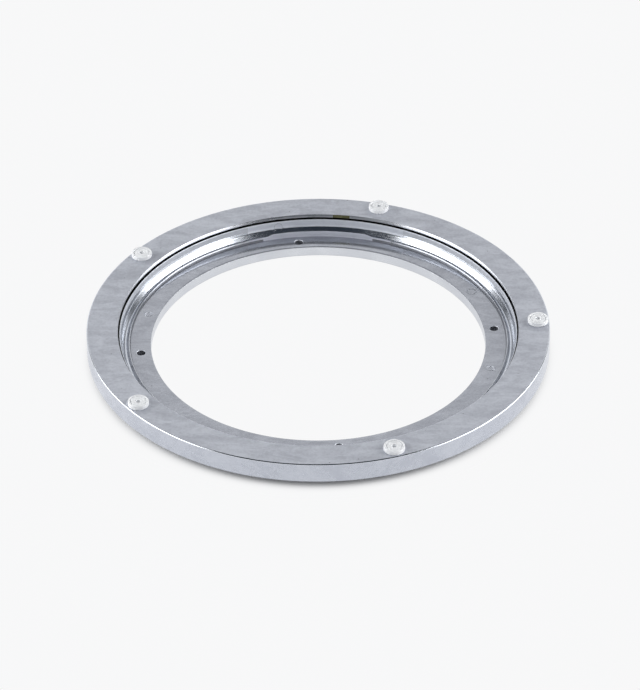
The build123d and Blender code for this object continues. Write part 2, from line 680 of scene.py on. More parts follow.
@dataclass(frozen=True)
class CastMetal:
    """Tumbled die-cast aluminium: soft grey flow streaks over a fine grain, with a few dark pits.

    Attributes:
        name: Name of the material.
        dark: Colour of the dull blotches.
        pale: Colour of the clean metal.
        smooth: Roughness of the clean metal.
        dull: Roughness of the blotches.
        blotch: Size of the blotches.
        grain: Size of the grain.
        relief: Depth of the grain.
        pits: How wide the pits are, from 0 for none to 1.
        metal: Share of bare metal, the rest being a dull skin.
        flow: Scale of the blotches along X, where less than 1 draws them out into streaks.
        blotch_share: Weight of the blotches against the grain.
        mottle: Values of the two together between which a blotch turns to clean metal.
        pit_gap: Distance between pits.
        pit_core: Radius of a pit's dark middle, in such distances.
        pit_edge: Least radius of a whole pit, in such distances.
        pit_shade: Colour in a pit, as a share of the blotches' colour.
    """

    name: str
    dark: Colour
    pale: Colour
    smooth: float
    dull: float
    blotch: float = 16 * MM
    grain: float = 1.6 * MM
    relief: float = 0.008 * MM
    pits: float = 0.0
    metal: float = 1.0
    flow: float = 0.4
    blotch_share: float = 0.7
    mottle: Span = (0.30, 0.68)
    pit_gap: float = 9 * MM
    pit_core: float = 0.02
    pit_edge: float = 0.05
    pit_shade: float = 0.35

    def material(self) -> bpy.types.Material:
        """Build the material.

        Returns:
            The material.
        """
        material, graph = new_graph(self.name)
        place = graph.place()
        flow = graph.node("ShaderNodeMapping", {"Vector": place, "Scale": (self.flow, 1.0, 1.0)}).outputs[0]
        cloud = graph.noise(flow, self.blotch, detail=5.0, blur=0.66, twist=0.8)
        grain = graph.noise(place, self.grain, detail=3.0, blur=0.6, twist=0.3)
        clean = graph.span(graph.weighed(cloud, grain, self.blotch_share), *self.mottle, 0.0, 1.0)
        colour = graph.blend(clean, self.dark, self.pale)
        if self.pits:
            cells = graph.node("ShaderNodeTexVoronoi", {"Vector": place, "Scale": 1 / self.pit_gap})
            edge = self.pit_edge * (1 + self.pits)
            pit = graph.span(cells.outputs["Distance"], self.pit_core, edge, 0.0, 1.0)
            colour = graph.blend(pit, tuple(self.pit_shade * c for c in self.dark), colour)
        rough = graph.span(clean, 0.0, 1.0, self.dull, self.smooth)
        graph.principled({"Base Color": colour, "Metallic": self.metal, "Roughness": rough,
                          "Normal": graph.bump(grain, self.relief, 0.6)})
        return material


@dataclass(frozen=True)
class TurnedMetal:
    """Bright turned metal with fine tool marks round the axis.

    Attributes:
        name: Name of the material.
        dark: Colour in the tool marks.
        pale: Colour between them.
        smooth: Least roughness.
        dull: Most roughness.
        pitch: Distance between tool marks.
        relief: Depth of the marks.
        cloud: Size of the faint clouds under the marks.
        cloud_share: Weight of the clouds against the marks.
        mottle: Values of the two together between which dark turns to pale.
    """

    name: str
    dark: Colour
    pale: Colour
    smooth: float
    dull: float
    pitch: float = 0.35 * MM
    relief: float = 0.004 * MM
    cloud: float = 22 * MM
    cloud_share: float = 0.6
    mottle: Span = (0.3, 0.65)

    def material(self) -> bpy.types.Material:
        """Build the material.

        The marks are noise on the distance from the axis and the height, so they run round the axis.

        Returns:
            The material.
        """
        material, graph = new_graph(self.name)
        place = graph.place()
        reach, height = graph.polar(place)
        section = graph.node("ShaderNodeCombineXYZ", {"X": reach, "Y": height}).outputs[0]
        marks = graph.noise(section, self.pitch, detail=2.0, blur=0.5)
        cloud = graph.noise(place, self.cloud, detail=4.0, blur=0.55, twist=0.4)
        clean = graph.span(graph.weighed(cloud, marks, self.cloud_share), *self.mottle, 0.0, 1.0)
        colour = graph.blend(clean, self.dark, self.pale)
        rough = graph.span(clean, 0.0, 1.0, self.dull, self.smooth)
        graph.principled({"Base Color": colour, "Metallic": 1.0, "Roughness": rough,
                          "Normal": graph.bump(marks, self.relief, 0.5)})
        return material


@dataclass(frozen=True)
class Moulded:
    """Moulded plastic with a faint cloudiness.

    Attributes:
        name: Name of the material.
        dark: Colour of the clouds.
        pale: Colour between them.
        roughness: Roughness of the skin.
        depth: How far light goes into the plastic.
        glow: Share of the light that does.
        cloud: Size of the clouds.
        grain: Size of the skin's grain.
        relief: Depth of the grain.
        spread: How far the roughness varies, as a share of it.
        ior: Index of refraction.
    """

    name: str
    dark: Colour
    pale: Colour
    roughness: float
    depth: float
    glow: float
    cloud: float = 2.4 * MM
    grain: float = 0.5 * MM
    relief: float = 0.01 * MM
    spread: float = 0.15
    ior: float = 1.49

    def material(self) -> bpy.types.Material:
        """Build the material.

        Returns:
            The material.
        """
        material, graph = new_graph(self.name)
        place = graph.place()
        cloud = graph.noise(place, self.cloud, detail=3.0, blur=0.55)
        colour = graph.blend(graph.span(cloud, 0.35, 0.65, 0.0, 1.0), self.dark, self.pale)
        skin = graph.noise(place, self.grain, detail=2.0, blur=0.5)
        least, most = self.roughness * (1 - self.spread), self.roughness * (1 + self.spread)
        rough = graph.span(skin, 0.3, 0.7, least, most)
        graph.principled({"Base Color": colour, "Roughness": rough, "IOR": self.ior,
                          "Subsurface Weight": self.glow, "Subsurface Radius": (1.0, 1.0, 1.0),
                          "Subsurface Scale": self.depth, "Normal": graph.bump(skin, self.relief, 0.4)})
        return material


RING_FINISHES: dict[Finish, Union[CastMetal, TurnedMetal]] = {
    Finish.FACE: CastMetal("cast_face", (0.425, 0.441, 0.493), (0.615, 0.64, 0.70), 0.44, 0.56,
                           blotch=9 * MM, pits=0.3, metal=0.18),
    Finish.TURNED: TurnedMetal("turned_bright", (0.63, 0.66, 0.72), (0.76, 0.79, 0.84), 0.17, 0.25),
    Finish.SKIRT: CastMetal("cast_skirt", (0.50, 0.525, 0.59), (0.60, 0.625, 0.69), 0.22, 0.32,
                            blotch=22 * MM, grain=4 * MM, metal=0.78),
    Finish.RAW: CastMetal("cast_raw", (0.36, 0.37, 0.40), (0.52, 0.535, 0.57), 0.42, 0.58),
    # Grease in the race together with painted shade: near black, for the dark gap between the two rings
    Finish.GREASED: CastMetal("race_grease_painted_shade", (0.008, 0.008, 0.007), (0.02, 0.02, 0.018), 0.3, 0.5),
    Finish.BLASTED: CastMetal("wall_blasted", (0.68, 0.71, 0.78), (0.78, 0.81, 0.87), 0.45, 0.55,
                              blotch=6 * MM, grain=0.8 * MM, metal=0.5),
    Finish.PLATE: CastMetal("cast_plate", (0.33, 0.345, 0.387), (0.47, 0.49, 0.54), 0.08, 0.12,
                            blotch=9 * MM, pits=0.3, metal=0.73),
    Finish.LIP: TurnedMetal("lip_satin", (0.60, 0.62, 0.665), (0.71, 0.73, 0.77), 0.26, 0.34),
    Finish.RIDGE: CastMetal("ridge_satin", (0.57, 0.59, 0.67), (0.66, 0.68, 0.76), 0.28, 0.36,
                            blotch=6 * MM, grain=0.8 * MM, metal=0.2),
    Finish.OILED: CastMetal("lip_oiled", (0.12, 0.12, 0.06), (0.24, 0.235, 0.13), 0.3, 0.4,
                            blotch=3 * MM, metal=0.6),
    Finish.SATIN: CastMetal("wall_satin", (0.55, 0.575, 0.625), (0.64, 0.665, 0.715), 0.5, 0.6,
                            blotch=6 * MM, grain=0.8 * MM, metal=0.3),
    # Painted shade at the foot of the low ridge, where it meets the flange
    Finish.DULL: CastMetal("ridge_foot_painted_shade", (0.17, 0.178, 0.2), (0.25, 0.26, 0.29), 0.4, 0.5,
                           blotch=3 * MM, metal=0.5),
}
STEEL = TurnedMetal("ball_polished", (0.58, 0.585, 0.60), (0.70, 0.705, 0.72), 0.05, 0.12)
NYLON = Moulded("cage_natural", (0.74, 0.72, 0.66), (0.84, 0.82, 0.77), 0.5, 1.0 * MM, 0.2)
PAD_PLASTIC = Moulded("pad_milky", (0.91, 0.925, 0.945), (0.96, 0.97, 0.985), 0.26, 0.8 * MM, 0.25)


# Sub-assemblies


def mount_sizes(name: str) -> dict[str, float]:
    """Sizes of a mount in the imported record, in millimetres."""
    return next(m["dims"] for m in frame["record"]["mounts"] if m["name"] == name)


def nodes_named(start: str) -> list[str]:
    """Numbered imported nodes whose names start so, in order."""
    found = [name for name in frame["nodes"] if name.startswith(start) and name[len(start):].isdigit()]
    return sorted(found, key=lambda name: int(name[len(start):]))


def seat(piece: bpy.types.Object, body: Body, nodes: list[str],
         materials: list[bpy.types.Material]) -> None:
    """Dress a piece, ride it on its body and let it stand for its nodes.

    Args:
        piece: The piece.
        body: The body that it rides on.
        nodes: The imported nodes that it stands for.
        materials: Its materials, in the order of its faces' indices.
    """
    for material in materials:
        piece.data.materials.append(material)
    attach(piece, body.value)
    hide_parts(*nodes)
    log.info("%s: %d faces, for %s", piece.name, len(piece.data.polygons), ", ".join(nodes))


@dataclass
class Race:
    """The ball race that both rings share.

    Attributes:
        pitch: Radius of the balls' circle.
        height: Height of the balls' middles.
        reach: Distance from the balls' middle to the foot of each groove.
        half_width: Half the mouth of a groove.
        mouth_round: Rounding of a groove's mouth.
        foot_round: Rounding of its foot.
    """

    pitch: float
    height: float
    reach: float
    half_width: float
    mouth_round: float = 0.1 * MM
    foot_round: float = 0.5 * MM

    @staticmethod
    def from_frame(gap: float = 2.2 * MM, clearance: float = 0.25 * MM) -> "Race":
        """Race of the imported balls.

        Args:
            gap: Distance between the two rings' lands.
            clearance: Room between a ball and a groove's wall.

        Returns:
            The race.
        """
        low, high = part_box("ball_1")
        middle = (Vector(low) + Vector(high)) / 2
        reach = ((high[2] - low[2]) / 2 + clearance) * math.sqrt(2)
        return Race(math.hypot(middle.x, middle.y), middle.z, reach, reach - gap / 2)

    def groove(self, land: float, foot: float, up: bool) -> list[Corner]:
        """Corners of a groove in a land, with a rounded foot.

        Args:
            land: Radius of the land.
            foot: Radius of the groove's foot.
            up: Whether the path goes up.

        Returns:
            The corners, in the path's order.
        """
        # The groove is near black: grease, with painted shade of the gap it lies in
        edges = [
            Corner(land, self.height - self.half_width, self.mouth_round, 1, Finish.GREASED),
            Corner(foot, self.height, self.foot_round, 1, Finish.GREASED),
            Corner(land, self.height + self.half_width, self.mouth_round, 1, Finish.GREASED),
        ]
        return edges if up else edges[::-1]


@dataclass(frozen=True)
class CastMark:
    """A small mark in a flange: a low raised edge round a shallow floor.

    Attributes:
        rim: Radius of the mark.
        steps: From the rim in to the edge's outer and inner shoulder and to the floor.
        rise: Height of the edge.
        depth: Depth of the floor.
        edge_round: Rounding of the edge's shoulders.
        floor_round: Rounding of the floor's border.
        edge: Finish of the edge.
        swell: Factor on the radius at each bearing.
        window: Half the width of the mark's surround, in radii.
    """

    rim: float
    steps: tuple[float, float, float]
    rise: float
    depth: float
    edge_round: float
    floor_round: float
    edge: Finish = Finish.PLATE
    swell: Swell = np.ones_like
    window: float = 2.2

    def section(self, top: float) -> Section:
        """Section of the mark from its rim to its middle.

        Args:
            top: Height of the flange's top.

        Returns:
            The section.
        """
        outer, inner, floor = (self.rim - step for step in self.steps)
        return Section.through([
            Corner(self.rim, top, 0, 1, Finish.PLATE),
            Corner(outer, top + self.rise, self.edge_round, 1, self.edge),
            Corner(inner, top + self.rise, self.edge_round, 1, self.edge),
            Corner(floor, top - self.depth, self.floor_round, 3, Finish.PLATE),
            Corner(0, top - self.depth, 0, 1, Finish.PLATE),
        ], closed=False)


@dataclass
class BaseRing:
    """The ring that is screwed to the table: rim, cove, ridge and flat flange, with the race outside.

    Attributes:
        race: The ball race.
        land: Radius of the outside, where the race is.
        rim_top: Height of the rim.
        bore: Radius of the open middle.
        flange: Thickness of the flange.
        screw_circle: Radius of the screws' circle.
        screw_hole: Radius of a screw hole.
        flange_rows: Grid steps across the flange and the underside.
        wall_rows: Grid steps down the straight wall.
        lower_round: Rounding of the bore's lower edge.
        outer_round: Rounding of the outside's lower edge.
        land_round: Rounding of the outside's upper edge.
        rim_width: From the land to the rim's inner wall.
        rim_round: Rounding of the rim's inner edge.
        wall_height: Height of the straight wall above the cove.
        cove_upper: Radius of the cove's upper part.
        cove_run: Straight run between the cove's upper part and its floor.
        cove_lower: Radius of its floor.
        brow_turn: How far the brow under the wall leans from upright.
        brow_round: Rounding between the wall and the brow.
        brow_run: Straight run of the brow.
        cove_turn: How far the cove's upper part turns from upright.
        bank: Slope of the cove's far bank, up to the ridge.
        bank_lead: Turned run at the foot of the bank.
        crest: From the rim's inner wall to the ridge's crest.
        crest_round: Rounding of the crest.
        ridge_lean: How far the ridge's inner face leans in to its foot.
        ridge_fillet: Rounding between the ridge and the flange.
        edge_fall: Width and depth of the slight fall before the bore's upper edge.
        edge_round: Rounding of that edge.
        stretch_start: Direction where the ridge starts to stand higher.
        stretch_end: Direction where it ends.
        stretch_rise: How much higher the ridge is there.
        stretch_ramp: Angle over which it rises at each end.
        satin_wall: Directions between which wall and brow are blasted. Elsewhere the wall is satin and the
            brow bright like the cove.
        satin_ridge: Directions between which the crest and the upper half of the ridge's face are satin.
            Elsewhere they are turned like the lip.
        screw_start: Direction of the first screw hole.
        screw_count: Number of screw holes.
        screw_window: Half the width of a screw hole's surround, in radii.
        hole_break: Bevel of a screw hole.
        hole_round: Rounding of that bevel.
        pins: Directions of the ejector pins' marks.
        pin: Such a mark.
        seal_turn: Direction of the six-sided casting mark.
        seal: That mark.
        plug_turn: Direction of the plug in the cove.
        plug_hole: Radius of the plug's hole.
        plug_room: Room round the plug.
        plug_margin: Room round the hole in its window.
        plug_web: Metal between the hole's end and the race.
        plug_bevel: Bevel of the plug's edge.
        plug_columns: Columns round the plug.
        plug_rings: Rows of points on its face.
    """

    race: Race
    land: float
    rim_top: float
    bore: float
    flange: float
    screw_circle: float
    screw_hole: float
    flange_rows: int = 12
    wall_rows: int = 6
    lower_round: float = 0.3 * MM
    outer_round: float = 0.4 * MM
    land_round: float = 0.2 * MM
    rim_width: float = 4.689 * MM
    rim_round: float = 0.45 * MM
    wall_height: float = 3.85 * MM
    cove_upper: float = 3.6 * MM
    cove_run: float = 2.43 * MM
    cove_lower: float = 0.9 * MM
    brow_turn: float = math.radians(20)
    brow_round: float = 0.5 * MM
    brow_run: float = 1.2 * MM
    cove_turn: float = math.radians(42)
    bank: float = math.radians(35)
    bank_lead: float = 0.05 * MM
    crest: float = 5.8 * MM
    crest_round: float = 0.3 * MM
    ridge_lean: float = 0.51 * MM
    ridge_fillet: float = 0.35 * MM
    edge_fall: Span = (0.8 * MM, 0.1 * MM)
    edge_round: float = 0.08 * MM
    stretch_start: float = math.radians(73.7)
    stretch_end: float = math.radians(105.4)
    stretch_rise: float = 1.6 * MM
    stretch_ramp: float = math.radians(3.2)
    satin_wall: Span = (math.radians(63.5), math.radians(111))
    satin_ridge: Span = (math.radians(66.5), math.radians(112))
    screw_start: float = math.radians(6.4)
    screw_count: int = 4
    screw_window: float = 2.4
    hole_break: float = 0.3 * MM
    hole_round: float = 0.1 * MM
    pins: tuple[float, ...] = (math.radians(164.4), math.radians(344.0))
    pin: CastMark = CastMark(2.9 * MM, (0.25 * MM, 0.85 * MM, 1.15 * MM), 0.15 * MM, 0.12 * MM,
                             0.12 * MM, 0.15 * MM, Finish.BLASTED)
    seal_turn: float = math.radians(28.6)
    seal: CastMark = CastMark(3.3 * MM, (0.2 * MM, 0.5 * MM, 0.75 * MM), 0.1 * MM, 0.06 * MM,
                              0.1 * MM, 0.1 * MM, swell=hexagon)
    plug_turn: float = math.radians(102)
    plug_hole: float = 2.9 * MM
    plug_room: float = 0.05 * MM
    plug_margin: float = 1.0 * MM
    plug_web: float = 0.3 * MM
    plug_bevel: float = 0.18 * MM
    plug_columns: int = 48
    plug_rings: int = 9

    @staticmethod
    def from_frame(race: Race) -> "BaseRing":
        """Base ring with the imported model's sizes.

        Args:
            race: The ball race.

        Returns:
            The ring.
        """
        _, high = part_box("base_ring")
        bore, screws = mount_sizes("centre_bore"), mount_sizes("base_screw_holes")
        return BaseRing(race, high[0], high[2], bore["r_mm"] * MM, bore["length_mm"] * MM,
                        screws["pcd_mm"] / 2 * MM, screws["hole_r_mm"] * MM)

    @property
    def wall(self) -> float:
        """Radius of the rim's inner wall."""
        return self.land - self.rim_width

    def section(self) -> Section:
        """Section of the ring, from the bore's lower edge round by the outside.

        Each straight run of the cove is longer by what the roundings at its two ends take: the radius times
        the tangent of half the turn.

        Returns:
            The section.
        """
        lean = Vector((-math.sin(self.brow_turn), -math.cos(self.brow_turn)))
        down = Vector((-math.sin(self.cove_turn), -math.cos(self.cove_turn)))
        up_bank = Vector((-math.cos(self.bank), math.sin(self.bank)))
        brow_reach = self.brow_round * math.tan(self.brow_turn / 2)
        cove_reach = self.cove_upper * math.tan((self.cove_turn - self.brow_turn) / 2)
        floor_reach = self.cove_lower * math.tan((math.pi / 2 - self.cove_turn + self.bank) / 2)
        brow = Vector((self.wall, self.rim_top - self.wall_height - brow_reach))
        shoulder = brow + lean * (brow_reach + self.brow_run + cove_reach)
        floor = shoulder + down * (cove_reach + self.cove_run + floor_reach)
        bank_start = floor + (floor_reach + self.bank_lead) * up_bank
        crest = self.wall - self.crest
        crest_top = floor.y + (floor.x - crest) * math.tan(self.bank)
        ridge_foot = crest - self.ridge_lean
        ridge_slope = math.atan2(crest_top - self.flange, self.ridge_lean)
        flange_outer = ridge_foot - self.ridge_fillet * math.tan(ridge_slope / 2) - HAIR
        wall_top = self.rim_top - self.rim_round - HAIR
        return Section.through([
            Corner(self.bore, 0, self.lower_round, self.flange_rows, Finish.RAW, "underside"),
            Corner(ridge_foot, 0, 0, 1, Finish.RAW),
            Corner(self.land, 0, self.outer_round, 1, Finish.RAW),
            *self.race.groove(self.land, self.race.pitch - self.race.reach, True),
            # The rim's land under the lip is near black: grease, with painted shade of the gap
            Corner(self.land, self.rim_top, self.land_round, 1, Finish.GREASED),
            Corner(self.wall + ROUND_ROOM * self.rim_round, self.rim_top, 0, 1, Finish.BLASTED),
            Corner(self.wall, self.rim_top, self.rim_round, 1, Finish.BLASTED),
            Corner(self.wall, wall_top, 0, self.wall_rows, Finish.BLASTED, "wall"),
            Corner(brow.x, brow.y, self.brow_round, 1, Finish.BLASTED, "brow"),
            Corner(shoulder.x, shoulder.y, self.cove_upper, 1, Finish.TURNED, "cove"),
            Corner(floor.x, floor.y, self.cove_lower, 1, Finish.TURNED, "bank"),
            Corner(bank_start.x, bank_start.y, 0, 1, Finish.RAW, "slope"),
            Corner(crest, crest_top, self.crest_round, 1, Finish.RIDGE, "ridge"),
            Corner((crest + ridge_foot) / 2, (crest_top + self.flange) / 2, 0, 1, Finish.RIDGE),
            Corner(ridge_foot, self.flange, self.ridge_fillet, 1, Finish.RIDGE),
            Corner(flange_outer, self.flange, 0, self.flange_rows, Finish.PLATE, "flange"),
            Corner(self.bore + self.edge_fall[0], self.flange, 0, 1, Finish.PLATE),
            Corner(self.bore, self.flange - self.edge_fall[1], self.edge_round, 2, Finish.LIP),
        ])

    def build(self, materials: list[bpy.types.Material]) -> None:
        """Build the ring and its plug.

        Args:
            materials: The rings' materials, in the order of Finish.
        """
        grid = TurnedGrid(self.section())
        shell = Shell("base_ring_cast")
        for index in range(self.screw_count):
            shell.add(*self.screw_opening(grid, self.screw_start + index * FULL_TURN / self.screw_count))
        for turn in self.pins:
            shell.add(*self.marked(grid, turn, self.pin))
        shell.add(*self.marked(grid, self.seal_turn, self.seal))
        shell.add(*self.plug_pocket(grid))
        shell.add(self.with_stretch(grid))
        seat(shell.build(), Body.BASE, ["base_ring"], materials)
        seat(self.plug(grid), Body.BASE, ["loading_plug"], materials)

    def with_stretch(self, grid: TurnedGrid) -> Surface:
        """The ring with its ridge raised along the stretch, and with the finishes that change round it.

        Heights of the bank above the cove's floor, and of the inner face above the flange, are multiplied so
        that the crest rises by the stretch's rise times a share that goes smoothly from 0 to 1 at each end of
        the stretch. A normal's height is divided by the same factor.

        Args:
            grid: The ring's grid.

        Returns:
            The ring's surface.
        """
        section = grid.section
        heights = section.points[:, 1]
        before, after = section.runs["cove"][1], section.runs["bank"][0]
        lowest = before + int(np.argmin(heights[before:after + 1]))
        ridge = np.arange(lowest, section.runs["flange"][0] + 1)
        top = ridge[np.argmax(heights[ridge])]
        foot = np.where(ridge <= top, heights[lowest], self.flange)
        gain = self.stretch_rise / (heights[top] - foot)
        ends = np.minimum(grid.turns - self.stretch_start, self.stretch_end - grid.turns)
        share = np.clip(ends / self.stretch_ramp + 0.5, 0, 1)
        share = share * share * (3 - 2 * share)
        factor = 1 + gain[:, None] * share[None, :]
        made = grid.surface()
        made.points[ridge, :, 2] = foot[:, None] + (made.points[ridge, :, 2] - foot[:, None]) * factor
        made.normals[ridge, :, 2] /= factor
        made.normals[ridge] /= np.linalg.norm(made.normals[ridge], axis=-1, keepdims=True)
        self.finish_round(made, grid, share == 0)
        return made

    def finish_round(self, made: Surface, grid: TurnedGrid, low: np.ndarray) -> None:
        """Set the finishes of wall, brow and ridge that change round the ring.

        Args:
            made: The ring's surface.
            grid: The ring's grid.
            low: Which columns have the low ridge, whose face has painted shade, a dark colour, in its lower
                half down to the flange.
        """
        runs = grid.section.runs
        beside = ~grid.between(self.satin_wall)
        made.finishes[slice(*runs["wall"]), beside] = Finish.SATIN.value
        made.finishes[runs["wall"][1]:runs["brow"][1], beside] = Finish.TURNED.value
        beside = ~grid.between(self.satin_ridge)
        made.finishes[runs["slope"][1]:runs["ridge"][1], beside] = Finish.LIP.value
        # The lower half of the low ridge's face, down to the flange, gets painted shade
        made.finishes[runs["ridge"][1]:runs["flange"][0], low] = Finish.DULL.value

    def around(self, turn: float) -> Vector:
        """Place on the screws' circle at a turn."""
        return Vector((self.screw_circle * math.cos(turn), self.screw_circle * math.sin(turn), 0))

    def screw_opening(self, grid: TurnedGrid, turn: float) -> list[Surface]:
        """A bevelled screw hole through the flange.

        Args:
            grid: The ring's grid.
            turn: Direction of the hole.

        Returns:
            Its upper and lower surround and its wall.
        """
        rim = self.screw_hole + self.hole_break
        half = self.screw_window * self.screw_hole
        upper, bearing = grid.flat_collar("flange", turn, self.screw_circle, rim, half)
        lower, _ = grid.flat_collar("underside", turn, self.screw_circle, rim, half)
        wall = Section.through([
            Corner(rim, self.flange, 0, 1, Finish.BLASTED),
            Corner(self.screw_hole, self.flange - self.hole_break, self.hole_round),
            Corner(self.screw_hole, self.hole_break, self.hole_round),
            Corner(rim, 0),
        ], closed=False)
        return [upper, lower, spun(wall, bearing, self.around(turn))]

    def marked(self, grid: TurnedGrid, turn: float, mark: CastMark) -> list[Surface]:
        """A shallow mark in the flange.

        Args:
            grid: The ring's grid.
            turn: Direction of the mark.
            mark: The mark.

        Returns:
            Its surround and its own surface.
        """
        half = mark.window * mark.rim
        collar, bearing = grid.flat_collar("flange", turn, self.screw_circle, mark.rim, half, mark.swell)
        swell = mark.swell(bearing - turn)
        return [collar, spun(mark.section(self.flange), bearing, self.around(turn), swell)]

    @staticmethod
    def plug_rows(section: Section) -> Rows:
        """Rows from the wall down through the cove's upper part, which the plug's window takes."""
        return section.runs["wall"][0], section.runs["cove"][0]

    def plug_pocket(self, grid: TurnedGrid) -> list[Surface]:
        """Blind hole in the cove that the plug fills.

        Args:
            grid: The ring's grid.

        Returns:
            The hole's surround, side and end.
        """
        rows = self.plug_rows(grid.section)
        half_width = (self.plug_hole + self.plug_margin) / self.wall
        collar, bearing = grid.wall_collar(rows, self.plug_turn, self.race.height, self.plug_hole, half_width)
        return [collar, *self.bar(grid, bearing, self.plug_hole, 0.0, False)]

    def bar(self, grid: TurnedGrid, bearing: np.ndarray, radius: float, bevel: float,
            outward: bool) -> list[Surface]:
        """Round bar along a radius, from the cove to just short of the race.

        The near edge is a circle laid on the cove as seen along the radius, and the far end is a flat disc.

        Args:
            grid: The ring's grid.
            bearing: Bearings of the columns.
            radius: Radius of the bar.
            bevel: Bevel of the near edge.
            outward: Whether the solid is inside the bar, as in the plug, or outside it, as in its hole.

        Returns:
            The bar's side and its far end.
        """
        aside, height = radius * np.cos(bearing), self.race.height + radius * np.sin(bearing)
        near, _ = grid.on_wall(self.plug_rows(grid.section), self.plug_turn, aside, height)
        radial = np.array([math.cos(self.plug_turn), math.sin(self.plug_turn), 0])
        left = np.array([-radial[1], radial[0], 0])
        upright = np.array([0, 0, 1.0])
        ring = unit(bearing) @ np.stack([left, upright])
        far_reach = self.race.pitch - self.race.reach - self.plug_web - (self.plug_room if outward else 0)
        middle = far_reach * radial + self.race.height * upright
        far = middle + radius * ring
        sign = 1 if outward else -1
        side = np.stack([near + bevel * radial, far])
        end = np.stack([far, np.broadcast_to(middle, ring.shape)])
        raw = np.array([Finish.RAW.value])
        return [Surface(side, np.stack([ring, ring]) * sign, raw),
                Surface(end, np.broadcast_to(radial * sign, end.shape), raw)]

    def plug(self, grid: TurnedGrid) -> bpy.types.Object:
        """The plug, flush with the cove and with a fine bevel round its edge.

        Its face is rings of points round its middle as seen along the radius, laid on the cove.

        Args:
            grid: The ring's grid.

        Returns:
            The plug.
        """
        rows = self.plug_rows(grid.section)
        bearing = even_turns(self.plug_columns)
        radius = self.plug_hole - self.plug_room
        rings = np.linspace(0, radius - self.plug_bevel, self.plug_rings)[:, None]
        aside, height = rings * np.cos(bearing), self.race.height + rings * np.sin(bearing)
        points, normals = grid.on_wall(rows, self.plug_turn, aside, height)
        face = Surface(points, normals, grid.finish_at(rows, points[1:, :, 2]))
        side, end = self.bar(grid, bearing, radius, self.plug_bevel, True)
        edge = Surface(np.stack([points[-1], side.points[0]]), np.stack([normals[-1], normals[-1]]),
                       np.array([Finish.TURNED.value]))
        shell = Shell("loading_plug_flush")
        shell.add(face, edge, side, end)
        return shell.build()


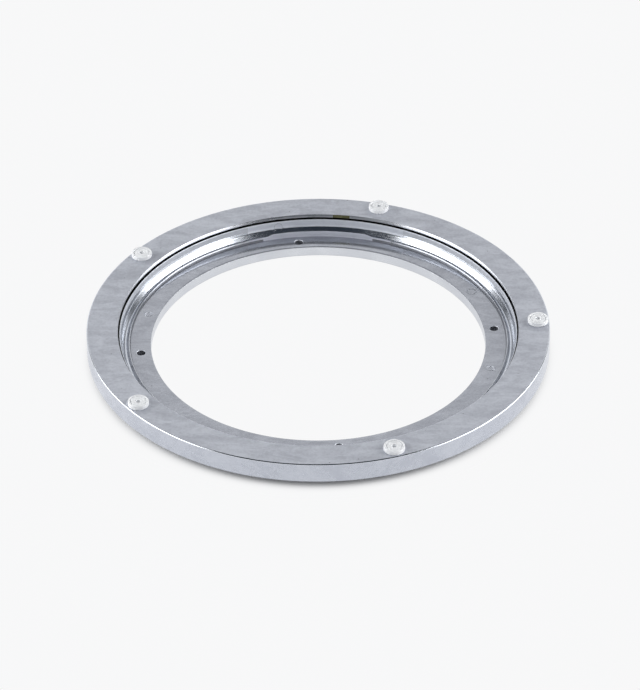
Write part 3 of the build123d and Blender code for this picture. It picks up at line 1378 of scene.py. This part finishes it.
@dataclass
class TurningRing:
    """The ring that carries the turntable: flat flange, skirt and race web in one casting.

    Attributes:
        race: The ball race.
        outside: Radius of the skirt.
        top: Height of the flange's top.
        foot: Height of the skirt's foot.
        lip: Radius of the lip's inner face.
        pads: Middles of the pads.
        flange: Thickness of the flange.
        flange_rows: Grid steps across the flange where the pads are.
        skirt: Thickness of the skirt.
        skirt_rows: Grid steps up the skirt.
        foot_round: Rounding of the skirt's outer lower edge.
        skirt_round: Rounding of its inner lower edge.
        channel: Width of the hollow between skirt and web.
        channel_round: Rounding of the hollow's upper corners.
        web_land: From the race's groove down to the web's foot.
        web_round: Rounding of the web's edges.
        pad_hole: Radius of a pad's hole.
        pad_window: Half the width of a pad hole's surround, in radii.
        lip_lean: Width and height of the cone at the top of the lip's inner face.
        lip_break: Width and height of the bevel under the lip.
        lip_round: Rounding between the lip's faces.
        under_round: Rounding of the bevel's lower edge.
        edge_round: Radius of the bright rounding at the top's outer edge.
        oiled: Directions between which the lip has an oil stain.
    """

    race: Race
    outside: float
    top: float
    foot: float
    lip: float
    pads: list[Vector]
    flange: float = 2.6 * MM
    flange_rows: int = 8
    skirt: float = 4.4 * MM
    skirt_rows: int = 3
    foot_round: float = 0.8 * MM
    skirt_round: float = 0.5 * MM
    channel: float = 6.4 * MM
    channel_round: float = 0.4 * MM
    web_land: float = 1.3 * MM
    web_round: float = 0.3 * MM
    pad_hole: float = 2.1 * MM
    pad_window: float = 1.6
    lip_lean: Span = (0.5 * MM, 1.1 * MM)
    lip_break: Span = (0.72 * MM, 0.6 * MM)
    lip_round: float = 0.15 * MM
    under_round: float = 0.2 * MM
    edge_round: float = 0.7 * MM
    oiled: Span = (math.radians(80.2), math.radians(85.4))

    @staticmethod
    def from_frame(race: Race, base: BaseRing, pads: list[Vector], lip_setback: float = 1.4 * MM,
                   inset: float = 0.045 * MM) -> "TurningRing":
        """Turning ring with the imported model's sizes.

        Args:
            race: The ball race.
            base: The base ring, which the lip stands back from.
            pads: Middles of the pads.
            lip_setback: How far the lip stands back from the base ring's wall.
            inset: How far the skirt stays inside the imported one.

        Returns:
            The ring.
        """
        low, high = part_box("turning_ring")
        return TurningRing(race, high[0] - inset, high[2], low[2], base.wall + lip_setback, pads)

    @property
    def under(self) -> float:
        """Height of the flange's underside."""
        return self.top - self.flange

    def section(self) -> Section:
        """Section of the ring, from the skirt's foot up its outside.

        Returns:
            The section.
        """
        under = self.under
        skirt_inner = self.outside - self.skirt
        web_outer = skirt_inner - self.channel
        land = self.race.pitch + self.race.reach - self.race.half_width
        web_foot = self.race.height - self.race.half_width - self.web_land
        return Section.through([
            Corner(self.outside, self.foot, self.foot_round, self.skirt_rows, Finish.SKIRT),
            Corner(self.outside, self.top, self.edge_round, 1, Finish.TURNED),
            Corner(self.outside - ROUND_ROOM * self.edge_round, self.top, 0, 1, Finish.FACE),
            Corner(skirt_inner, self.top, 0, self.flange_rows, Finish.FACE, "flange"),
            Corner(web_outer, self.top, 0, 1, Finish.FACE),
            Corner(self.lip + self.lip_lean[0], self.top, self.lip_round, 2, Finish.LIP, "lip_cone"),
            Corner(self.lip, self.top - self.lip_lean[1], self.lip_round, 2, Finish.LIP, "lip"),
            # The lip's underside and the web's top are near black: grease, with painted shade of the gap
            Corner(self.lip, under + self.lip_break[1], self.lip_round, 1, Finish.GREASED),
            Corner(self.lip + self.lip_break[0], under, self.under_round, 1, Finish.GREASED),
            Corner(land, under, self.web_round, 1, Finish.GREASED),
            *self.race.groove(land, self.race.pitch + self.race.reach, False),
            Corner(land, web_foot, self.web_round),
            Corner(web_outer, web_foot, self.web_round),
            Corner(web_outer, under, self.channel_round, self.flange_rows, Finish.RAW, "channel"),
            Corner(skirt_inner, under, self.channel_round),
            Corner(skirt_inner, self.foot, self.skirt_round),
        ])

    def build(self, materials: list[bpy.types.Material]) -> None:
        """Build the ring.

        Args:
            materials: The rings' materials, in the order of Finish.
        """
        grid = TurnedGrid(self.section())
        shell = Shell("turning_ring_cast")
        for pad in self.pads:
            shell.add(*self.pad_opening(grid, pad))
        shell.add(self.with_stain(grid))
        seat(shell.build(), Body.TURNTABLE, ["turning_ring"], materials)

    def with_stain(self, grid: TurnedGrid) -> Surface:
        """The ring's surface, with the stained part of its lip.

        Args:
            grid: The ring's grid.

        Returns:
            The surface.
        """
        made = grid.surface()
        lip = slice(grid.section.runs["lip_cone"][0], grid.section.runs["lip"][1])
        made.finishes[lip, grid.between(self.oiled)] = Finish.OILED.value
        return made

    def pad_opening(self, grid: TurnedGrid, pad: Vector) -> list[Surface]:
        """Hole through the flange for a pad's stem.

        Args:
            grid: The ring's grid.
            pad: The pad's middle.

        Returns:
            The hole's upper and lower surround, and the upper and lower half of its wall.
        """
        turn, radius = math.atan2(pad.y, pad.x), math.hypot(pad.x, pad.y)
        half = self.pad_window * self.pad_hole
        place = Vector((pad.x, pad.y, 0))
        middle = self.top - self.flange / 2
        collars, walls = [], []
        for run, start, end in (("flange", self.top, middle), ("channel", middle, self.under)):
            collar, bearing = grid.flat_collar(run, turn, radius, self.pad_hole, half)
            wall = Section.through([Corner(self.pad_hole, start), Corner(self.pad_hole, end)], closed=False)
            collars.append(collar)
            walls.append(spun(wall, bearing, place))
        return collars + walls


@dataclass
class PushInPad:
    """A milky push-in pad: a round head with a raised rim, a groove and a gate dimple, on a stem.

    Attributes:
        node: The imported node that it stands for.
        middle: Where its axis meets the flange.
        head: Radius of the head.
        height: Height of the head.
        tail: How far the stem goes below the flange's top.
        columns: Columns round the pad.
        stem: Radius of the stem.
        stem_round: Rounding of the stem's end.
        foot: Radius of the head's undercut foot.
        undercut: Width and height of the foot's own edge.
        shoulder: Height where the head has its whole width.
        draft: How far the head narrows to its top.
        top_round: Rounding of the head's upper edge.
        rim: Width of the raised rim.
        rim_round: Rounding of its inner edge.
        groove: Depth of the round groove inside the rim.
        groove_steps: From the rim in to the groove's outer and inner wall and to the step beyond it.
        dish: Depth of each of the two steps down from the rim to the middle.
        boss: Radius of the inner step.
        dimple: Radius of the gate dimple.
        dimple_depth: Depth of the gate dimple.
        taper: How far the walls of the inner step and the dimple lean.
        fine_round: Rounding in the groove and at the foot.
        step_round: Rounding of the steps.
        soft_round: Rounding of the shoulder and of the upper edges inside the rim.
    """

    node: str
    middle: Vector
    head: float
    height: float
    tail: float
    columns: int = 96
    stem: float = 2.0 * MM
    stem_round: float = 0.4 * MM
    foot: float = 6.2 * MM
    undercut: Span = (0.1 * MM, 0.3 * MM)
    shoulder: float = 0.45 * MM
    draft: float = 0.06 * MM
    top_round: float = 0.6 * MM
    rim: float = 1.4 * MM
    rim_round: float = 0.25 * MM
    groove: float = 0.65 * MM
    groove_steps: tuple[float, float, float] = (0.1 * MM, 0.5 * MM, 0.7 * MM)
    dish: float = 0.2 * MM
    boss: float = 3.3 * MM
    dimple: float = 1.5 * MM
    dimple_depth: float = 2.3 * MM
    taper: float = 0.1 * MM
    fine_round: float = 0.1 * MM
    step_round: float = 0.15 * MM
    soft_round: float = 0.2 * MM

    @staticmethod
    def from_frame(node: str, seat_height: float) -> "PushInPad":
        """Pad in a packed pad's place.

        Args:
            node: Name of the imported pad.
            seat_height: Height of the flange's top.

        Returns:
            The pad.
        """
        low, high = Vector(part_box(node)[0]), Vector(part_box(node)[1])
        middle = (low + high) / 2
        middle.z = seat_height
        return PushInPad(node, middle, (high.x - low.x) / 2, high.z - seat_height, seat_height - low.z)

    def section(self) -> Section:
        """Section of the pad from the end of its stem up to the middle of its top.

        Returns:
            The section.
        """
        top, middle = self.height, self.height - 2 * self.dish
        rim = self.head - self.rim
        outer, inner, step = (rim - distance for distance in self.groove_steps)
        return Section.through([
            Corner(0, -self.tail),
            Corner(self.stem, -self.tail, self.stem_round),
            Corner(self.stem, 0),
            Corner(self.foot, 0, self.fine_round),
            Corner(self.foot + self.undercut[0], self.undercut[1], self.fine_round),
            Corner(self.head, self.shoulder, self.soft_round),
            Corner(self.head - self.draft, top, self.top_round),
            Corner(rim, top, self.rim_round),
            Corner(outer, top - self.groove, self.fine_round),
            Corner(inner, top - self.groove, self.fine_round),
            Corner(step, top - self.dish, self.soft_round),
            Corner(self.boss, top - self.dish, self.step_round),
            Corner(self.boss - self.taper, middle, self.step_round),
            Corner(self.dimple + self.taper, middle, self.soft_round),
            Corner(self.dimple - self.taper, middle - self.dimple_depth, self.step_round),
            Corner(0, middle - self.dimple_depth),
        ], closed=False)

    def build(self, material: bpy.types.Material) -> None:
        """Build the pad.

        Args:
            material: The pad's one material.
        """
        made = spun(self.section(), even_turns(self.columns), self.middle)
        made.finishes = np.zeros_like(made.finishes)
        shell = Shell(f"{self.node}_milky")
        shell.add(made)
        seat(shell.build(), Body.TURNTABLE, [self.node], [material])


@dataclass
class BallRow:
    """The caged balls.

    Attributes:
        nodes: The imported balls.
        columns: Columns round each ball.
    """

    nodes: list[str]
    columns: int = 48

    def build(self, material: bpy.types.Material) -> None:
        """Build each ball.

        A ball is a half circle carried round its upright axis.

        Args:
            material: The balls' material.
        """
        outward = unit(np.linspace(-math.pi / 2, math.pi / 2, self.columns // 2 + 1))
        plain = np.zeros(len(outward), int)
        for node in self.nodes:
            low, high = Vector(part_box(node)[0]), Vector(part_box(node)[1])
            arc = Section((high.z - low.z) / 2 * outward, outward, plain, {}, False)
            shell = Shell(f"{node}_ground")
            shell.add(spun(arc, even_turns(self.columns), (low + high) / 2))
            seat(shell.build(), Body.CAGE, [node], [material])


@dataclass
class BallCage:
    """The strip that spaces the balls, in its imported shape.

    Attributes:
        node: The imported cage.
    """

    node: str = "ball_cage"

    def build(self, material: bpy.types.Material) -> None:
        """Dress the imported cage.

        Args:
            material: The cage's material.
        """
        cage = frame["nodes"][self.node]
        cage.data.materials.clear()
        cage.data.materials.append(material)
        log.info("%s: %d faces, as packed", self.node, len(cage.data.polygons))


# Studio


@dataclass(frozen=True)
class SoftBox:
    """A soft light panel.

    Attributes:
        name: Name of the light.
        place: Where its middle is.
        aim: The point that it faces.
        width: Its width.
        height: Its height.
        brightness: Its radiance, where 1 is white.
    """

    name: str
    place: tuple[float, float, float]
    aim: tuple[float, float, float]
    width: float
    height: float
    brightness: float

    def build(self) -> None:
        """Build the light, turned to its aim."""
        lamp = bpy.data.lights.new(self.name, "AREA")
        lamp.shape = "RECTANGLE"
        lamp.size, lamp.size_y = self.width, self.height
        lamp.energy = self.brightness * math.pi * self.width * self.height
        made = bpy.data.objects.new(self.name, lamp)
        made.location = self.place
        made.rotation_euler = (Vector(self.aim) - Vector(self.place)).to_track_quat("-Z", "Y").to_euler()
        made.visible_camera = False
        bpy.context.scene.collection.objects.link(made)


@dataclass(frozen=True)
class Studio:
    """Pale floor, soft light from both sides and a room that is dark above the camera.

    Attributes:
        white: Colour of the floor and background as the camera sees it.
        floor_size: Length of the floor's sides.
        floor_points: Grid points along a side.
        floor_lift: Height of the floor, a hair above the object's underside.
        floor_colour: The floor's own colour.
        lift: Least share of white that the floor shows over its own lit colour.
        shade_in: Distances from the axis, inside the ring, between which the floor's shade comes in. It is
            the
        object's shadow on the floor's own lit colour, which is darker than the white, so it is partly painted
        shade.
        shade_out: Distances, outside the ring, between which it goes out.
        shade_fall: Power by which it goes out.
        front: Colour of the room on the camera's side and overhead.
        wall: How far a direction points backwards, from where the room is dark to where it is white.
        horizon: How far a direction points up, from where the room is white to where it is dark.
        boxes: The light panels.
    """

    white: Colour = (0.935, 0.937, 0.942)
    floor_size: float = 8.0
    floor_points: int = 9
    floor_lift: float = 0.02 * MM
    floor_colour: Colour = (0.84, 0.845, 0.855)
    lift: float = 0.05
    shade_in: Span = (0.1083, 0.1090)
    shade_out: Span = (0.142, 0.172)
    shade_fall: float = 6.0
    front: Colour = (0.022, 0.029, 0.04)
    wall: Span = (0.6, 0.8)
    horizon: Span = (0.02, 0.14)
    boxes: tuple[SoftBox, ...] = (
        SoftBox("softbox_left", (-1.17, -0.14, 0.7), (0.0, -0.14, 0.7), 1.5, 1.36, 3.5),
        SoftBox("softbox_right", (1.17, -0.14, 0.7), (0.0, -0.14, 0.7), 1.5, 1.36, 3.5),
    )

    @staticmethod
    def seen(graph: Graph) -> Socket:
        """Whether a ray is one that the background shows in.

        Args:
            graph: The graph of a material.

        Returns:
            1 for rays from the camera, from gloss and through clear things, and 0 for the rest.
        """
        path = graph.node("ShaderNodeLightPath").outputs
        direct = graph.math("MAXIMUM", path["Is Camera Ray"], path["Is Glossy Ray"])
        return graph.math("MAXIMUM", direct, path["Is Transmission Ray"])

    def build_floor(self) -> None:
        """Build the floor, a flat grid that shows the object's shadow."""
        half = self.floor_size / 2
        across = np.linspace(-half, half, self.floor_points)
        x, y = np.meshgrid(across, across, indexing="ij")
        points = np.stack([x, y, np.full_like(x, self.floor_lift)], axis=-1)
        normals = np.broadcast_to(np.array([0, 0, 1.0]), points.shape)
        shell = Shell("floor")
        shell.add(Surface(points, normals, np.zeros(self.floor_points, int), ring_columns=False))
        floor = shell.build()
        floor.data.materials.append(self.floor_material())

    def floor_material(self) -> bpy.types.Material:
        """The floor's finish: white as the background, and near the ring its own lit colour, which shows the
        object's shadow.

        That colour is darker than the white, so the band, set by distance from the axis, is also painted
        shade.

        Returns:
            The material.
        """
        material, graph = new_graph("floor_pale")
        lit = graph.node("ShaderNodeBsdfDiffuse", {"Color": (*self.floor_colour, 1)}).outputs[0]
        glow = graph.node("ShaderNodeEmission", {"Color": (*self.white, 1)}).outputs[0]
        reach, _ = graph.polar(graph.place())
        # Painted shade: near the ring the floor shows its lit colour, darker than the white, in a band set by
        # distance from the axis; the object's real shadow falls on it too
        fall = graph.math("POWER", graph.span(reach, *self.shade_out, 1.0, 0.0), self.shade_fall)
        plain = graph.math("MAXIMUM", graph.span(reach, *self.shade_in, 1.0, self.lift),
                           graph.span(fall, 0.0, 1.0, 1.0, self.lift))
        share = graph.math("MULTIPLY", plain, self.seen(graph))
        graph.surface(graph.node("ShaderNodeMixShader", {0: share, 1: lit, 2: glow}).outputs[0])
        return material

    def build_room(self) -> None:
        """Build the room: a pale wall behind, dark overhead and in front, and white along the horizon."""
        world = bpy.data.worlds.new("room")
        world.use_nodes = True
        graph = Graph(world.node_tree)
        direction = graph.node("ShaderNodeTexCoord").outputs["Generated"]
        split = graph.node("ShaderNodeSeparateXYZ", {0: direction}).outputs
        wall = graph.span(split["Y"], *self.wall, 0.0, 1.0)
        horizon = graph.span(split["Z"], *self.horizon, 1.0, 0.0)
        colour = graph.blend(graph.math("MAXIMUM", wall, horizon), self.front, self.white)
        background = graph.node("ShaderNodeBackground", {"Color": colour}).outputs[0]
        graph.surface(background, "ShaderNodeOutputWorld")
        bpy.context.scene.world = world

    def build(self) -> None:
        """Build the floor, the room and the lights."""
        self.build_floor()
        self.build_room()
        for box in self.boxes:
            box.build()


@dataclass(frozen=True)
class PhotoCamera:
    """Camera at the photograph's viewing angle.

    Attributes:
        image_height: The image's longer side in pixels.
        focal: Focal length in pixels.
        distance: Distance to the origin along the line of sight.
        elevation: Height of the line of sight above the horizon.
        roll: Turn of the picture to the left.
        aside: How far right of the picture's middle the origin lies, in pixels.
        below: How far below it, in pixels.
        sensor: Width of the sensor in millimetres.
        clip: Nearest and farthest distance that is seen.
    """

    image_height: float = 690
    focal: float = 4000
    distance: float = 2.6
    elevation: float = math.radians(35.31)
    roll: float = math.radians(0.27)
    aside: float = -1.7
    below: float = 3.7
    sensor: float = 36.0
    clip: Span = (0.1, 50.0)

    def build(self) -> None:
        """Build the camera."""
        back = Vector((0, -math.cos(self.elevation), math.sin(self.elevation)))
        right = Vector((1, 0, 0))
        up = back.cross(right)
        scale = self.distance / self.focal
        eye = back * self.distance - right * (self.aside * scale) + up * (self.below * scale)
        cos, sin = math.cos(self.roll), math.sin(self.roll)
        axes = Matrix((right * cos - up * sin, right * sin + up * cos, back)).transposed().to_4x4()
        lens = bpy.data.cameras.new("photo_camera")
        lens.sensor_width = self.sensor
        lens.lens = self.sensor * self.focal / self.image_height
        lens.clip_start, lens.clip_end = self.clip
        made = bpy.data.objects.new("photo_camera", lens)
        made.matrix_world = Matrix.Translation(eye) @ axes
        bpy.context.scene.collection.objects.link(made)
        bpy.context.scene.camera = made


def main() -> None:
    """Build the bearing and its studio."""
    logging.basicConfig(level=logging.INFO, format="%(name)s: %(message)s")
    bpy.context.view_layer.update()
    race = Race.from_frame()
    base = BaseRing.from_frame(race)
    seat_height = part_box("turning_ring")[1][2]
    pads = [PushInPad.from_frame(name, seat_height) for name in nodes_named("pad_")]
    rings = [RING_FINISHES[finish].material() for finish in Finish]
    base.build(rings)
    TurningRing.from_frame(race, base, [pad.middle for pad in pads]).build(rings)
    plastic = PAD_PLASTIC.material()
    for pad in pads:
        pad.build(plastic)
    BallRow(nodes_named("ball_")).build(STEEL.material())
    BallCage().build(NYLON.material())
    Studio().build()
    PhotoCamera().build()
    bpy.context.scene.view_settings.view_transform = "Standard"


if __name__ == "__main__":
    main()
